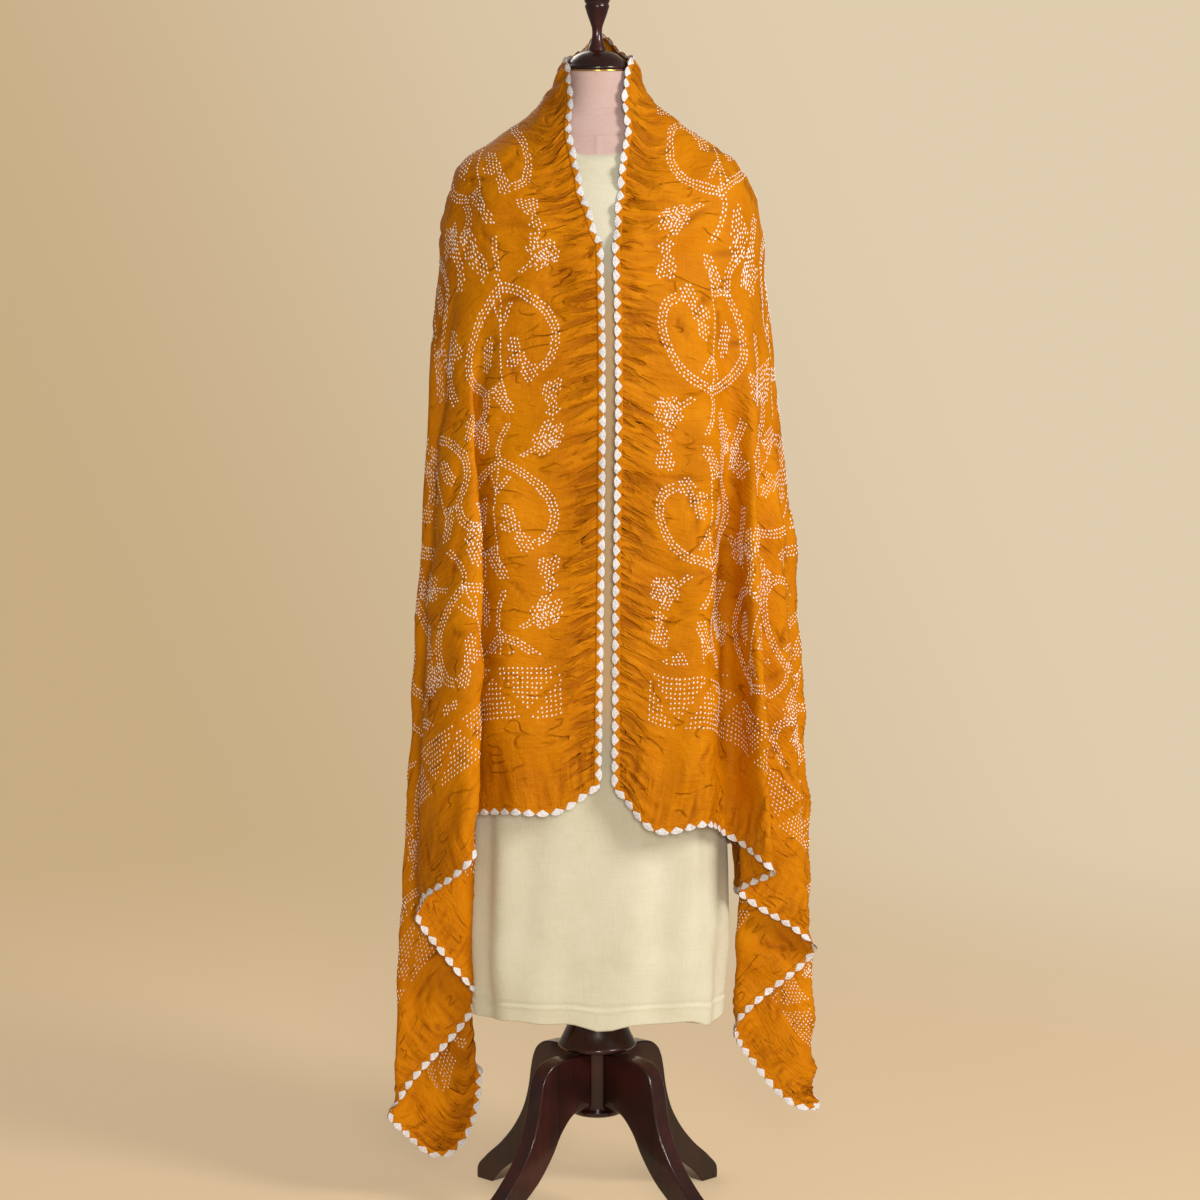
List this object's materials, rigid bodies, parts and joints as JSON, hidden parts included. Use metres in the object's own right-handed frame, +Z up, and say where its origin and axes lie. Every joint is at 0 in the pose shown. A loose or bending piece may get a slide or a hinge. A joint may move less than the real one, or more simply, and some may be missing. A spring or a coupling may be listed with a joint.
{
  "type": "bandhani shawl on a dress form",
  "caption": "Crinkled tie-dyed shawl with dotted vines, leaves and end bands and a crochet edging, draped round the neck of a dress form on a turned wooden stand.",
  "frame": {"origin": "on the floor, under the middle of the whole object's plan", "axes": "+Z up, -Y towards the open front of the shawl, +X to the right of someone who looks at that front"},
  "size_m": [0.5926, 0.3684, 1.773],
  "materials": {
    "dyed_cloth": "crinkled cloth with a low silky sheen, tie-dyed with small white dots",
    "crochet_cotton": "matt crochet shells",
    "cream_linen": "matt plain weave",
    "pink_linen": "matt plain weave",
    "mahogany": "glossy dark varnish"
  },
  "bodies": {
    "root": {"shawl": "dyed_cloth", "edging": "crochet_cotton", "form_body": "cream_linen", "form_neck": "pink_linen", "neck_cap": "mahogany", "finial": "mahogany", "collar": "mahogany", "column": "mahogany", "foot_disc": "mahogany", "leg_1": "mahogany", "leg_2": "mahogany", "leg_3": "mahogany", "leg_4": "mahogany"}
  },
  "joints": []
}
